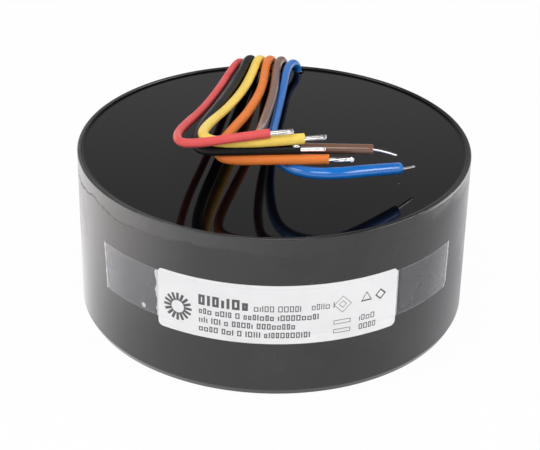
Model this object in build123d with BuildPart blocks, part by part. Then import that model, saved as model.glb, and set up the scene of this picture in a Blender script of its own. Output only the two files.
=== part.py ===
"""Potted toroidal mains transformer with six flying leads.

A strip-wound steel ring carries a primary and two secondary windings, with tape
between them, and stands in a round moulded case that is filled with resin.  Six
sleeved leads rise out of the resin beside the back of the case wall and lie
forward over it.  A threaded bush in the floor holds the whole unit down.

Units are millimetres.  +Z is up, the origin is the middle of the underside, and
the label faces -Y.
"""

import os
from math import degrees, pi, radians, tan

from build123d import *

# ---- case ------------------------------------------------------------------
case_diameter = 150.0
case_height = 65.0
case_wall = 1.5
case_floor = 2.0
case_foot_height, case_foot_depth = 2.4, 1.1  # slope round the foot
case_foot_round = 0.5
case_inside_round = 1.5
case_rim_round = 0.7

# ---- resin -----------------------------------------------------------------
resin_below_rim = 1.0
bond_gap = 0.02  # between the resin and what it was cast against

# ---- wound ring ------------------------------------------------------------
# Build-up of each layer over the one below: in the bore, on the rim, on each face.
core_bore_diameter = 70.0
core_wrap_build = (1.0, 1.0, 1.0)
primary_build = (3.2, 2.1, 2.5)
interwinding_build = (0.4, 0.4, 0.4)
first_secondary_build = (1.8, 1.1, 1.3)
second_secondary_build = (2.0, 1.1, 1.4)
outer_wrap_build = (0.6, 0.6, 0.6)
core_edge_round = 0.6
layer_gap = 0.03
ring_above_floor = 2.8
ring_below_resin = 2.8
ring_to_wall = 4.7

# ---- fixing bush -----------------------------------------------------------
bush_diameter = 14.0
bush_length = 26.0
bush_recess = 0.3
bush_bore_radius = 3.4  # minor radius of an M8 thread
bush_bore_depth = 18.0
bush_mouth_chamfer = 0.8
bush_edge_chamfer = 0.5
bush_groove_height = 5.0
bush_groove_depth = 1.2
knurl_count = 36
knurl_depth = 0.45
knurl_plain_end = 2.0

# ---- label and clear tape, wrapped round the case --------------------------------
# A turn is how far the middle stands round from the front, in degrees, towards +X.
label_length, label_height = 90.5, 23.9
label_turn = 2.0
label_bottom = 22.3
label_thickness = 0.15
label_corner = 2.0
tape_length, tape_width = 151.0, 19.0
tape_turn = 2.5
tape_bottom = 26.0
tape_thickness = 0.1
tape_tooth_count = 19
tape_tooth_depth = 0.6
film_gap = 0.03

# ---- leads -------------------------------------------------------------------
sleeve_diameter = 3.6
sleeve_bore = 2.6
secondary_wire = 2.0  # four tinned strands, soldered together
primary_wire = 1.0  # one solid tinned wire
lead_to_wall = 2.5  # from the middle of the lead row to the inside of the wall
socket_gap = 0.05
arc_share = 0.45  # share of the shorter run that an arc takes up
wire_tail = 11.0  # how far a wire goes on into the resin below its sleeve
wire_tail_lean = 0.7

# Points of each lead, as (across, behind the lead row, above the resin), hand chosen.
lead_points = {
    "red": [(-12.6, -0.8, -3.0), (-12.7, -0.8, 0.8), (-13.6, -1.9, 4.2), (-16.0, -6.0, 5.8),
            (-18.4, -16.0, 6.4), (-22.0, -38.4, 8.6), (-27.7, -66.8, 11.8), (-32.8, -87.5, 15.8),
            (-35.3, -106.6, 20.4), (-33.1, -116.3, 22.1), (-25.8, -119.9, 24.1),
            (-13.9, -121.5, 27.1), (-1.8, -119.7, 28.3)],
    "black": [(-8.8, -0.3, -3.0), (-8.9, -0.3, 1.4), (-9.9, -1.4, 5.6), (-12.0, -5.6, 7.0),
              (-13.6, -17.2, 7.1), (-17.4, -39.4, 9.0), (-21.9, -63.7, 12.1), (-26.7, -85.9, 14.8),
              (-28.8, -104.9, 17.1), (-25.8, -114.2, 18.4), (-18.4, -116.2, 19.5),
              (-4.6, -116.7, 20.4), (9.1, -116.2, 20.7)],
    "yellow": [(-4.6, 0.0, -3.0), (-4.6, 0.0, 1.4), (-5.8, -1.3, 5.5), (-7.8, -5.4, 6.9),
               (-9.2, -17.0, 7.0), (-12.6, -40.4, 9.0), (-18.2, -66.9, 13.0), (-23.3, -87.2, 17.2),
               (-26.5, -106.9, 21.4), (-22.2, -116.3, 22.9), (-10.9, -119.3, 24.3),
               (0.2, -118.1, 24.6), (10.3, -116.3, 24.9)],
    "orange": [(-0.5, 0.0, -3.0), (-0.5, 0.0, 1.4), (-1.6, -1.3, 5.5), (-3.6, -5.4, 6.9),
               (-4.4, -16.5, 6.9), (-5.4, -38.7, 8.5), (-10.0, -63.5, 10.3), (-15.3, -83.6, 12.7),
               (-19.8, -101.4, 14.8), (-20.2, -112.8, 15.4), (-13.9, -116.8, 16.0),
               (-1.0, -117.6, 17.0), (9.6, -117.5, 17.2), (19.1, -116.4, 16.9)],
    "brown": [(3.8, 0.0, -3.0), (3.8, 0.0, 1.2), (2.9, -1.3, 5.3), (1.0, -5.4, 6.6),
              (0.0, -17.5, 6.7), (-0.6, -38.3, 7.8), (-2.6, -60.4, 9.7), (-5.0, -81.6, 12.1),
              (-6.0, -98.1, 17.0), (-3.6, -111.3, 19.8), (9.0, -112.2, 19.1), (22.1, -111.3, 18.7),
              (34.9, -110.0, 18.1)],
    "blue": [(9.5, -0.4, -3.0), (9.4, -0.4, 0.8), (8.2, -1.8, 4.2), (6.0, -6.2, 5.8),
             (4.4, -14.5, 6.4), (3.3, -29.0, 5.8), (1.4, -48.4, 5.1), (-0.9, -72.2, 5.2),
             (-1.8, -93.4, 9.0), (1.0, -110.6, 13.1), (8.8, -119.9, 13.5), (20.3, -121.4, 13.7),
             (32.9, -114.8, 12.0), (45.3, -105.9, 8.7)],
}
# Points of each bared wire beyond its sleeve.
tip_points = {
    "red": [(6.2, -118.5, 28.5)],
    "black": [(17.7, -116.1, 20.8)],
    "yellow": [(17.8, -115.1, 25.0)],
    "orange": [(27.7, -116.0, 16.9)],
    "brown": [(39.4, -110.8, 17.6), (43.2, -111.7, 16.8)],
    "blue": [(48.7, -102.8, 7.6), (51.2, -100.4, 7.1)],
}
wire_diameters = {
    "red": secondary_wire,
    "black": secondary_wire,
    "yellow": secondary_wire,
    "orange": secondary_wire,
    "brown": primary_wire,
    "blue": primary_wire,
}

# ---- values that follow --------------------------------------------------------
case_radius = case_diameter / 2
foot_radius = case_radius - case_foot_depth
pot_radius = case_radius - case_wall
resin_top = case_height - resin_below_rim
lead_row = pot_radius - lead_to_wall
winding_builds = [
    ("core_wrap", core_wrap_build),
    ("primary_winding", primary_build),
    ("interwinding_wrap", interwinding_build),
    ("secondary_winding_1", first_secondary_build),
    ("secondary_winding_2", second_secondary_build),
    ("outer_wrap", outer_wrap_build),
]
ring_bottom = case_floor + ring_above_floor
ring_top = resin_top - ring_below_resin
ring_middle = (ring_bottom + ring_top) / 2
bore_build, rim_build, face_build = (sum(b[i] for _, b in winding_builds) for i in range(3))
core_rim_radius = pot_radius - ring_to_wall - rim_build
core_half_height = (ring_top - ring_bottom) / 2 - face_build
groove_middle = bush_recess + bush_length / 2
label_radius = case_radius + film_gap
label_half = degrees(label_length / 2 / label_radius)
tape_radius = label_radius + label_thickness + film_gap
tape_half = degrees(tape_length / 2 / tape_radius)


def save(part, name):
    part.label = name
    export_step(part, f"parts/{name}.step")


def ring_sketch(section, grow=0.0, mode=Mode.ADD):
    """Rounded section of the wound ring: bore radius, rim radius, half height, corner."""
    bore, rim, half, corner = section
    with Locations(((bore + rim) / 2, ring_middle)):
        RectangleRounded(rim - bore + 2 * grow, 2 * (half + grow), corner + grow, mode=mode)


def make_case():
    with BuildPart() as case:
        with BuildSketch(Plane.XZ):
            with BuildLine():
                Polyline(
                    (0, 0), (foot_radius, 0), (case_radius, case_foot_height),
                    (case_radius, case_height), (pot_radius, case_height),
                    (pot_radius, case_floor), (0, case_floor), close=True,
                )
            make_face()
        revolve(axis=Axis.Z)
        circles = case.edges().filter_by(GeomType.CIRCLE)
        foot = circles.filter_by(lambda e: abs(e.radius - foot_radius) < 1e-6)
        slope_top = circles.filter_by(lambda e: abs(e.center().Z - case_foot_height) < 1e-6)
        fillet([*foot, *slope_top], case_foot_round)
        circles = case.edges().filter_by(GeomType.CIRCLE)
        fillet(circles.group_by(Axis.Z)[-1], case_rim_round)
        inside = case.edges().filter_by(GeomType.CIRCLE)
        inside = inside.filter_by(lambda e: abs(e.center().Z - case_floor) < 1e-6)
        inside = inside.filter_by(lambda e: abs(e.radius - pot_radius) < 1e-6)
        fillet(inside, case_inside_round)
        Cylinder(bush_diameter / 2 + bond_gap, 3 * case_floor, mode=Mode.SUBTRACT)
    save(case.part, "case")


def make_ring():
    """The core and the layers wound on it; returns the section of the last layer."""
    section = (core_bore_diameter / 2, core_rim_radius, core_half_height, core_edge_round)
    with BuildPart() as core:
        with BuildSketch(Plane.XZ):
            ring_sketch(section)
        revolve(axis=Axis.Z)
    save(core.part, "core")
    for name, (in_bore, on_rim, on_face) in winding_builds:
        bore, rim, half, corner = section
        outside = (bore - in_bore, rim + on_rim, half + on_face, corner + on_rim)
        with BuildPart() as layer:
            with BuildSketch(Plane.XZ):
                ring_sketch(outside)
                ring_sketch(section, grow=layer_gap, mode=Mode.SUBTRACT)
            revolve(axis=Axis.Z)
        save(layer.part, name)
        section = outside
    return section


def bush_outline(grow=0.0):
    """Half section of the bush, with the locking groove round its middle."""
    radius = bush_diameter / 2 + grow
    waist = radius - bush_groove_depth
    top = bush_recess + bush_length + grow
    low = groove_middle - bush_groove_height / 2 + grow
    high = groove_middle + bush_groove_height / 2 - grow
    return [
        (0, bush_recess), (radius, bush_recess), (radius, low), (waist, low),
        (waist, high), (radius, high), (radius, top), (0, top),
    ]


def make_bush():
    with BuildPart() as bush:
        with BuildSketch(Plane.XZ):
            with BuildLine():
                Polyline(*bush_outline(), close=True)
            make_face()
        revolve(axis=Axis.Z)
        ends = bush.edges().filter_by(GeomType.CIRCLE).group_by(Axis.Z)
        chamfer([ends[0][0], ends[-1][0]], bush_edge_chamfer)
        with BuildSketch(Plane.XY.offset(bush_recess)):
            Circle(bush_bore_radius)
        extrude(amount=bush_bore_depth, mode=Mode.SUBTRACT)
        mouth = bush.edges().filter_by(GeomType.CIRCLE).group_by(Axis.Z)[0]
        chamfer(mouth.sort_by(SortBy.RADIUS)[0], bush_mouth_chamfer)
        with BuildSketch(Plane.XY.offset(bush_recess + knurl_plain_end)):
            with PolarLocations(bush_diameter / 2, knurl_count):
                Rectangle(knurl_depth * 2, knurl_depth * 2, rotation=45)
        extrude(amount=bush_length - 2 * knurl_plain_end, mode=Mode.SUBTRACT)
    save(bush.part, "fixing_bush")


def corner_radii(points):
    """An arc for each corner, as large as its two runs allow."""
    radii = []
    for before, corner, after in zip(points, points[1:], points[2:]):
        turn = (corner - before).get_angle(after - corner)
        shorter = min((corner - before).length, (after - corner).length)
        radii.append(arc_share * shorter / tan(radians(turn / 2)))
    return radii


def sweep_tube(points, radii, diameter, bore=0.0):
    """A round tube or rod along straight runs joined by arcs."""
    with BuildPart() as tube:
        with BuildLine() as path:
            if radii:
                FilletPolyline(*points, radius=radii)
            else:
                Line(*points)
        spine = path.wires()[0]
        with BuildSketch(Plane(origin=spine @ 0, z_dir=spine % 0)):
            Circle(diameter / 2)
            if bore:
                Circle(bore / 2, mode=Mode.SUBTRACT)
        sweep()
    section = pi * (diameter**2 - bore**2) / 4
    return tube.part, spine.length, tube.part.volume / (section * spine.length)


def lead_route(colour):
    return [Vector(x, lead_row + y, resin_top + z) for x, y, z in lead_points[colour]]


def wire_route(colour):
    """The sleeve's own route, with a tail into the resin and a bared tip beyond it."""
    start = lead_route(colour)[0]
    tail = start - Vector(0, wire_tail_lean, wire_tail)
    tips = [Vector(x, lead_row + y, resin_top + z) for x, y, z in tip_points[colour]]
    return [tail] + lead_route(colour) + tips


def wire_radii(colour):
    """Inside the sleeve the arcs are the sleeve's own; outside it they are the wire's."""
    radii = corner_radii(wire_route(colour))
    inside = corner_radii(lead_route(colour))
    radii[1 : 1 + len(inside)] = inside
    return radii


def make_leads():
    """Six sleeves and their wires; returns the shapes that the resin is cast round."""
    sockets = []
    for colour in lead_points:
        route = lead_route(colour)
        radii = corner_radii(route)
        sleeve, length, fullness = sweep_tube(route, radii, sleeve_diameter, sleeve_bore)
        save(sleeve, f"{colour}_lead_sleeve")
        print(colour, "sleeve", round(length, 1), "mm, volume ratio", round(fullness, 4))
        print("   radii", [round(r, 1) for r in radii])
        diameter = wire_diameters[colour]
        wire_points = wire_route(colour)
        wire, length, fullness = sweep_tube(wire_points, wire_radii(colour), diameter)
        save(wire, f"{colour}_lead_wire")
        print("   wire", round(length, 1), "mm, volume ratio", round(fullness, 4))
        around = sleeve_diameter + 2 * socket_gap
        sockets.append(sweep_tube(route[:3], radii[:1], around)[0])
        beside = diameter + 2 * socket_gap
        sockets.append(sweep_tube(wire_points[:3], wire_radii(colour)[:1], beside)[0])
    return sockets


def make_resin(ring_section, sockets):
    with BuildPart() as resin:
        with BuildSketch(Plane.XZ):
            with BuildLine():
                inner = pot_radius - bond_gap
                low = case_floor + bond_gap
                Polyline((0, low), (inner, low), (inner, resin_top), (0, resin_top), close=True)
            make_face()
        revolve(axis=Axis.Z)
        bottom = resin.edges().filter_by(GeomType.CIRCLE).group_by(Axis.Z)[0]
        fillet(bottom, case_inside_round)
        with BuildSketch(Plane.XZ):
            with BuildLine():
                Polyline(*bush_outline(grow=bond_gap), close=True)
            make_face()
        revolve(axis=Axis.Z, mode=Mode.SUBTRACT)
        with BuildSketch(Plane.XZ):
            ring_sketch(ring_section, grow=bond_gap)
        revolve(axis=Axis.Z, mode=Mode.SUBTRACT)
        add(sockets, mode=Mode.SUBTRACT)
    save(resin.part, "resin_fill")


def arc_plane(angle):
    """Upright plane through the Z axis, at an angle measured from the front."""
    return Plane.XZ.rotated((0, 0, angle - 90))


def make_label():
    with BuildPart() as label:
        with BuildSketch(arc_plane(label_turn - label_half)):
            with Locations((label_radius, label_bottom)):
                Rectangle(label_thickness, label_height, align=(Align.MIN, Align.MIN))
        revolve(axis=Axis.Z, revolution_arc=2 * label_half)
        corners = label.edges().filter_by(lambda e: abs(e.length - label_thickness) < 1e-6)
        fillet(corners, label_corner)
    save(label.part, "label")


def make_tape():
    pitch = tape_width / tape_tooth_count
    with BuildPart() as tape:
        with BuildSketch(arc_plane(tape_turn - tape_half)):
            with Locations((tape_radius, tape_bottom)):
                Rectangle(tape_thickness, tape_width, align=(Align.MIN, Align.MIN))
        revolve(axis=Axis.Z, revolution_arc=2 * tape_half)
        for up in (-1, 1):
            upright = arc_plane(tape_turn + up * tape_half)
            edge = upright.from_local_coords((tape_radius, tape_bottom, 0))
            with BuildSketch(Plane(edge, x_dir=upright.z_dir * -up, z_dir=upright.x_dir)):
                for tooth in range(tape_tooth_count):
                    low, top = up * pitch * tooth, up * pitch * (tooth + 1)
                    with BuildLine():
                        Polyline((0, low), (-tape_tooth_depth, (low + top) / 2), (0, top), close=True)
                    make_face()
            extrude(amount=1.0, both=True, mode=Mode.SUBTRACT)
    save(tape.part, "clear_tape")


os.makedirs("parts", exist_ok=True)
make_case()
make_bush()
make_resin(make_ring(), make_leads())
make_label()
make_tape()
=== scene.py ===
"""Looks for a potted toroidal mains transformer: moulded case, cast resin, leads, label and tape.

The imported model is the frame.  Everything here is in metres, with +Z up, the origin at the middle
of the underside and the label towards -Y.
"""

import math
import random

import bmesh
import bpy
from bpy.props import FloatProperty, FloatVectorProperty, PointerProperty
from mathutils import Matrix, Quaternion, Vector, noise


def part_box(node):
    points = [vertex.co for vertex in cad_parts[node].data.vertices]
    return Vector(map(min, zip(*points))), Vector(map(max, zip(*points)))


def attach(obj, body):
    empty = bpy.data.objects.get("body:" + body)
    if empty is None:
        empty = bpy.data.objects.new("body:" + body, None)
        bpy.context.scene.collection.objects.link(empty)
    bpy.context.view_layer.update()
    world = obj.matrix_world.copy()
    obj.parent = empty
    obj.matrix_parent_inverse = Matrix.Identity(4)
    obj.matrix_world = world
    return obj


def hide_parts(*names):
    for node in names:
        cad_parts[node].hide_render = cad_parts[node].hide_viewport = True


bl_info = {
    "name": "Potted Toroidal Transformer",
    "version": (1, 0, 0),
    "blender": (4, 5, 0),
    "location": "View3D > Sidebar > Transformer",
    "description": "Builds the case, resin, leads, label, tape and inner ring of a potted transformer",
    "category": "Object",
}

MM = 0.001
FULL_TURN = 2 * math.pi
GAP = 0.02 * MM  # between pieces that fit into each other
STAND_OFF = 0.03 * MM  # between the wall and what is stuck on it

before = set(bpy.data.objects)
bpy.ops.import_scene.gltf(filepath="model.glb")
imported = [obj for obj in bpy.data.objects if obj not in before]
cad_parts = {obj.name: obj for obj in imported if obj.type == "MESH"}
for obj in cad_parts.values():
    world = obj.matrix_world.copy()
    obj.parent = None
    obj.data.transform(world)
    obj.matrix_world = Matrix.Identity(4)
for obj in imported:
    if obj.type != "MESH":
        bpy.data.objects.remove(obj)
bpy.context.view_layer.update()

# ---- places that come from the frame ----
CASE_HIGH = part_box("case")[1]
CASE_RADIUS, CASE_HEIGHT = CASE_HIGH.x, CASE_HIGH.z
RESIN_LOW, RESIN_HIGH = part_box("resin_fill")
POT_RADIUS, RESIN_TOP = RESIN_HIGH.x + GAP, RESIN_HIGH.z
CASE_FLOOR = RESIN_LOW.z - GAP
BUSH_LOW, BUSH_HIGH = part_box("fixing_bush")
LEAD_ROW = POT_RADIUS - 2.5 * MM  # where the leads come up, behind the middle

# Half lengths round the wall, and how far the middles lie to the right of the front.
LABEL_HALF, LABEL_MIDDLE = 45.25 * MM, CASE_RADIUS * math.radians(2.0)
TAPE_HALF, TAPE_MIDDLE = 75.5 * MM, CASE_RADIUS * math.radians(2.5)
LABEL_THICK, FILM_THICK = 0.15 * MM, 0.08 * MM
BEND_PITCH = 1.2 * MM  # between the cuts that let a flat piece bend round the wall

# ---- routes, sections and finishes of the leads ----
# Route points in millimetres: across, behind the lead row, above the resin.
LEAD_POINTS = {
    "red": [(-12.6, -0.8, -3.0), (-12.7, -0.8, 0.8), (-13.6, -1.9, 4.2), (-16.0, -6.0, 5.8),
            (-18.4, -16.0, 6.4), (-22.0, -38.4, 8.6), (-27.7, -66.8, 11.8), (-32.8, -87.5, 15.8),
            (-35.3, -106.6, 20.4), (-33.1, -116.3, 22.1), (-25.8, -119.9, 24.1),
            (-13.9, -121.5, 27.1), (-1.8, -119.7, 28.3)],
    "black": [(-8.8, -0.3, -3.0), (-8.9, -0.3, 1.4), (-9.9, -1.4, 5.6), (-12.0, -5.6, 7.0),
              (-13.6, -17.2, 7.1), (-17.4, -39.4, 9.0), (-21.9, -63.7, 12.1), (-26.7, -85.9, 14.8),
              (-28.8, -104.9, 17.1), (-25.8, -114.2, 18.4), (-18.4, -116.2, 19.5),
              (-4.6, -116.7, 20.4), (9.1, -116.2, 20.7)],
    "yellow": [(-4.6, 0.0, -3.0), (-4.6, 0.0, 1.4), (-5.8, -1.3, 5.5), (-7.8, -5.4, 6.9),
               (-9.2, -17.0, 7.0), (-12.6, -40.4, 9.0), (-18.2, -66.9, 13.0), (-23.3, -87.2, 17.2),
               (-26.5, -106.9, 21.4), (-22.2, -116.3, 22.9), (-10.9, -119.3, 24.3),
               (0.2, -118.1, 24.6), (10.3, -116.3, 24.9)],
    "orange": [(-0.5, 0.0, -3.0), (-0.5, 0.0, 1.4), (-1.6, -1.3, 5.5), (-3.6, -5.4, 6.9),
               (-4.4, -16.5, 6.9), (-5.4, -38.7, 8.5), (-10.0, -63.5, 10.3), (-15.3, -83.6, 12.7),
               (-19.8, -101.4, 14.8), (-20.2, -112.8, 15.4), (-13.9, -116.8, 16.0),
               (-1.0, -117.6, 17.0), (9.6, -117.5, 17.2), (19.1, -116.4, 16.9)],
    "brown": [(3.8, 0.0, -3.0), (3.8, 0.0, 1.2), (2.9, -1.3, 5.3), (1.0, -5.4, 6.6),
              (0.0, -17.5, 6.7), (-0.6, -38.3, 7.8), (-2.6, -60.4, 9.7), (-5.0, -81.6, 12.1),
              (-6.0, -98.1, 17.0), (-3.6, -111.3, 19.8), (9.0, -112.2, 19.1), (22.1, -111.3, 18.7),
              (34.9, -110.0, 18.1)],
    "blue": [(9.5, -0.4, -3.0), (9.4, -0.4, 0.8), (8.2, -1.8, 4.2), (6.0, -6.2, 5.8),
             (4.4, -14.5, 6.4), (3.3, -29.0, 5.8), (1.4, -48.4, 5.1), (-0.9, -72.2, 5.2),
             (-1.8, -93.4, 9.0), (1.0, -110.6, 13.1), (8.8, -119.9, 13.5), (20.3, -121.4, 13.7),
             (32.9, -114.8, 12.0), (45.3, -105.9, 8.7)],
}
TIP_POINTS = {
    "red": [(6.2, -118.5, 28.5)],
    "black": [(17.7, -116.1, 20.8)],
    "yellow": [(17.8, -115.1, 25.0)],
    "orange": [(27.7, -116.0, 16.9)],
    "brown": [(39.4, -110.8, 17.6), (43.2, -111.7, 16.8)],
    "blue": [(48.7, -102.8, 7.6), (51.2, -100.4, 7.1)],
}
# Gloss and roughness of a sleeve, and of those that differ.
USUAL_GLOSS = (0.18, 0.36)
SLEEVE_GLOSS = {"brown": (0.80, 0.17), "blue": (0.85, 0.19)}
# How ragged each sleeve's cut is, in millimetres, and the power of a section that isn't an oval's 2.
CUT_RAGGED = {"red": 0.2, "black": 0.3, "yellow": 0.5, "orange": 0.35, "brown": 0.12, "blue": 0.2}
SECTION_POWER = {"red": 1.7}
# Turns of the four strands over a secondary lead's length, and how far a primary lead's one wire
# lifts towards its tip, in millimetres.
STRAND_TURNS = {"red": 2.2, "black": 1.4, "yellow": 1.6, "orange": 6.5}
SOLID_TIP_LIFT = {"brown": -0.1, "blue": 0.55}
# Lumps of solder: how far each lies back from the wire's tip, or its place from the end of the
# sleeve, then its radius, the seed of its shape and how it is stretched.
TIP_LUMPS = {
    "red": [(0.3, 0.95, 3.1, (0.8, 1, 1.05))],
    "orange": [(0.4, 1.05, 5.7, (1.0, 1, 1.1)), (2.6, 0.95, 8.2, (1.2, 1, 0.9))],
}
SLEEVE_LUMPS = {"black": [((-1.5, -0.7, 1.45), 1.0, 1.7, (1.35, 0.7, 0.75))]}
# How each sleeve has flattened: (share of its length, width across, height), in millimetres.
SLEEVE_SHAPES = {
    "red": [(0, 3.2, 3.6), (0.1, 3.0, 3.5), (0.55, 3.05, 3.5), (0.75, 3.2, 3.5), (1, 3.3, 3.5)],
    "black": [(0, 3.6, 3.6), (0.3, 3.9, 3.6), (0.75, 3.7, 3.8), (1, 3.7, 3.7)],
    "yellow": [(0, 3.6, 3.7), (0.12, 3.8, 3.6), (0.3, 4.5, 3.0), (0.5, 4.5, 3.0),
               (0.68, 3.9, 3.5), (0.8, 3.7, 3.8), (1, 3.7, 3.9)],
    "orange": [(0, 3.4, 3.6), (0.3, 3.4, 3.6), (0.6, 3.6, 3.6), (0.85, 3.5, 3.8), (1, 3.5, 4.1)],
    "brown": [(0, 3.4, 3.6), (0.5, 3.7, 3.5), (1, 3.6, 3.7)],
    "blue": [(0, 3.2, 3.5), (0.4, 3.0, 3.6), (0.75, 4.1, 4.1), (0.9, 4.5, 4.3), (1, 4.4, 4.3)],
}

# ---- print on the label ----
# In millimetres from the label's left end and foot.  Each line of print: place, how many marks each
# word has, height and stroke.
PRINT_LINES = [
    (16.4, 13.3, (7,), 4.2, 1.0),
    (36.6, 13.3, (5, 5), 2.4, 0.34),
    (57.0, 13.6, (5, 1), 2.3, 0.30),
    (16.6, 9.7, (3, 4, 1, 7, 9), 2.3, 0.42),
    (16.6, 6.1, (4, 3, 1, 5, 8), 2.3, 0.42),
    (16.6, 2.5, (4, 3, 1, 5, 11), 2.3, 0.42),
    (75.0, 6.3, (4,), 2.3, 0.34),
    (75.0, 2.6, (4,), 2.3, 0.34),
]
PRINT_BARS, BAR_SIZE, BAR_STROKE = ((65.2, 6.6), (65.2, 2.9)), (6.4, 1.7), 0.24
# Each outlined polygon: place, radius, stroke and corners.
PRINT_POLYGONS = [
    (68.4, 14.6, 3.4, 0.26, 4), (68.4, 14.6, 1.5, 0.26, 4),
    (77.6, 15.3, 2.6, 0.75, 3), (83.4, 15.3, 2.3, 0.75, 4),
]
# The ring of spokes: place, inner and outer radius, and width and number of the spokes.
PRINT_RING = (8.2, 10.2, 2.5, 5.6, 1.05, 16)

# ---- layers of the wound ring ----
# Layer: how many ridges show round it, how deep they are in millimetres, and their lean in radians.
LAYERS = {
    "core_wrap": (56, 0.12, 0.10),
    "primary_winding": (190, 0.42, 0.0),
    "interwinding_wrap": (60, 0.10, -0.10),
    "secondary_winding_1": (150, 0.38, 0.0),
    "secondary_winding_2": (150, 0.38, 0.0),
    "outer_wrap": (64, 0.12, 0.10),
}

# ---- studio ----
# The world's strength in soft light low down and overhead, and the heights of the ray between which
# it changes; the share by which it is stronger at the left than in the middle; and its strength in a
# gloss at each height, from the horizon (0) to overhead (1).
WORLD_SOFT, WORLD_SPAN, WORLD_SIDE = (0.34, 0.20), (0.05, 0.75), 0.12
WORLD_GLOSS = [(0, 0.30), (0.20, 0.45), (0.30, 0.63), (0.60, 0.14), (0.80, 0.06), (1, 0.06)]
STUDIO_COLOUR = (0.985, 0.97, 1.0)
FLOOR_SIZE, FLOOR_DROP = 12, 0.0002  # across, and below the part's underside
# The floor's paint, and the share of plain white over it to the camera and in a gloss.
FLOOR_PAINT, FLOOR_WHITE = 0.72, 0.97
# How much brighter than white the floor is in a gloss, from the left end of a span across to its
# right end, and in a pool: its middle, the radii between which it fades, and its colour.
GLOW_SPAN, GLOW_LEFT, GLOW_RIGHT = (-0.13, 0.09), 0.60, 0.08
POOL_GLOW, POOL_MIDDLE, POOL_REACH = 1.3, (-0.22, -0.04, 0), (0.05, 0.17)
POOL_COLOUR = (1.0, 0.962, 0.945)
# Each soft box: name, place, width, height, power and whether it shows in a gloss.
LAMPS = [
    ("key", (-0.25, 0.22, 1.55), 1.6, 1.1, 11.5, False),
    ("left", (-1.25, -0.55, 0.85), 0.8, 0.8, 6.5, True),
    ("right", (1.20, -0.35, 0.62), 0.9, 0.42, 7.5, True),
    ("front", (0.00, -1.02, 1.10), 0.9, 0.7, 7.5, True),
]
LAMP_AIM = Vector((0, 0, 0.04))
CAMERA_STAND, CAMERA_AIM = Vector((0, -0.5566, 0.3372)), Vector((-0.0011, 0, 0.0289))
CAMERA_ROLL, CAMERA_LENS, CAMERA_SENSOR = math.radians(-1.11), 107.97, 36


# ---- sizes and colours that a user would change ----
def size(name, value, about):
    return FloatProperty(name=name, description=about, default=value, unit="LENGTH", precision=5)


def colour(name, value, about):
    return FloatVectorProperty(
        name=name, description=about, default=value, subtype="COLOR", size=3, min=0, max=1
    )


class TransformerSizes(bpy.types.PropertyGroup):
    wall: size("Wall", CASE_RADIUS - POT_RADIUS, "Thickness of the case wall")
    foot_height: size("Foot height", 2.4 * MM, "Height of the slope round the foot of the case")
    foot_depth: size("Foot depth", 1.1 * MM, "How far the slope goes in at the bottom")
    foot_round: size("Foot round", 0.5 * MM, "Radius on both edges of the slope")
    rim_round: size("Rim round", 0.7 * MM, "Radius on both edges of the rim")
    inside_round: size("Inside round", 1.5 * MM, "Radius between the wall and the floor inside")
    meniscus: size("Meniscus", 0.45 * MM, "How far the resin climbed the wall")
    sleeve: size("Sleeve", 3.6 * MM, "Mean outside diameter of a lead sleeve")
    sleeve_bore: size("Sleeve bore", 2.6 * MM, "Mean inside diameter of a lead sleeve")
    strand: size("Strand", 0.92 * MM, "Diameter of one strand of a secondary lead")
    solid_wire: size("Solid wire", 1.0 * MM, "Diameter of a primary lead's wire")
    label_corner: size("Label corner", 2.0 * MM, "Radius at the corners of the label")
    print_height: size("Print height", 0.012 * MM, "How far the ink stands proud")


class TransformerColours(bpy.types.PropertyGroup):
    case: colour("Case", (0.016, 0.0155, 0.016), "Moulded case")
    resin: colour("Resin", (0.0022, 0.0019, 0.0022), "Cast resin")
    label: colour("Label", (0.915, 0.915, 0.92), "Label stock")
    ink: colour("Ink", (0.075, 0.075, 0.078), "Print on the label")
    tinned: colour("Tinned wire", (0.86, 0.85, 0.83), "Tinned copper")
    copper: colour("Copper", (0.62, 0.25, 0.11), "Enamelled copper")
    brass: colour("Brass", (0.72, 0.52, 0.24), "Machined brass")
    steel: colour("Steel", (0.50, 0.51, 0.53), "Wound steel strip")
    film: colour("Film", (0.78, 0.68, 0.40), "Insulating tape on the ring")
    red: colour("Red sleeve", (0.745, 0.102, 0.100), "Sleeve of the red lead")
    black: colour("Black sleeve", (0.007, 0.007, 0.0075), "Sleeve of the black lead")
    yellow: colour("Yellow sleeve", (0.94, 0.68, 0.13), "Sleeve of the yellow lead")
    orange: colour("Orange sleeve", (0.81, 0.215, 0.042), "Sleeve of the orange lead")
    brown: colour("Brown sleeve", (0.180, 0.090, 0.056), "Sleeve of the brown lead")
    blue: colour("Blue sleeve", (0.004, 0.155, 0.55), "Sleeve of the blue lead")


# ---- helpers for modelling ----
def rest():
    """Back to object mode with nothing selected."""
    if bpy.context.object and bpy.context.object.mode != "OBJECT":
        bpy.ops.object.mode_set(mode="OBJECT")
    bpy.ops.object.select_all(action="DESELECT")


def take(obj):
    rest()
    obj.select_set(True)
    bpy.context.view_layer.objects.active = obj


def choose(kind, rule):
    """In edit mode, selects the edges or faces that the rule takes; it is given the item's middle."""
    bpy.ops.mesh.select_mode(type=kind)
    bpy.ops.mesh.select_all(action="DESELECT")
    shape = bmesh.from_edit_mesh(bpy.context.object.data)
    items = shape.edges if kind == "EDGE" else shape.faces
    for item in items:
        places = [v.co for v in item.verts]
        middle = sum(places, Vector()) / len(places)
        item.select_set(bool(rule(middle, item)))
    bmesh.update_edit_mesh(bpy.context.object.data)


def settle(obj, name, angle):
    """Puts a finished piece's place in its mesh and smooths its round faces."""
    take(obj)
    bpy.ops.object.transform_apply(location=True, rotation=True, scale=True)
    bpy.ops.object.shade_smooth_by_angle(angle=math.radians(angle))
    obj.name = name
    obj.data.name = name
    return obj


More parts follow.
